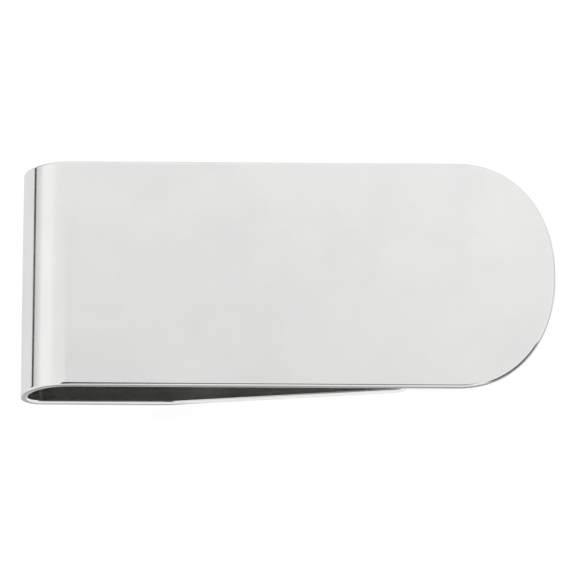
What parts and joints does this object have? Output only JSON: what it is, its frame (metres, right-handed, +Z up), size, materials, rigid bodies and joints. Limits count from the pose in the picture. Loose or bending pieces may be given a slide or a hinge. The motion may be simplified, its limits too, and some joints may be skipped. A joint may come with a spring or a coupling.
{
  "type": "money clip",
  "caption": "Polished metal strip bent into a spring U: a flat front plate with a rounded end and a sloping back leg that grips folded notes against it.",
  "frame": {"origin": "on the surface that the clip lies on, below the middle of its bounding box", "axes": "+Z up, +X along the clip from the spring bend towards the rounded end, +Y across the strip; the clip lies face up on the outside of its back leg's second bend and on the plate's rounded end"},
  "size_m": [0.051, 0.0226, 0.0083],
  "materials": {
    "polished_metal": "mirror polish with faint handling marks, neutral silver colour"
  },
  "bodies": {
    "leg": {"back_leg": "polished_metal"},
    "spring": {"leg_root": "polished_metal", "bend_back": "polished_metal"},
    "front": {"bend_front": "polished_metal", "front_plate": "polished_metal"}
  },
  "joints": [
    {"name": "leg_flex", "type": "hinge", "parent": "leg", "child": "spring", "pos_m": [-0.01748, 0, 0.00135], "axis": [0, -1, 0], "range_deg": [0, 3.8], "stiffness_Nm_per_rad": 10.1, "springref_deg": -0.36},
    {"name": "bend_flex", "type": "hinge", "parent": "spring", "child": "front", "pos_m": [-0.02513, 0, 0.00413], "axis": [0, -1, 0], "range_deg": [0, 4.5], "stiffness_Nm_per_rad": 10.7, "springref_deg": -0.42}
  ]
}
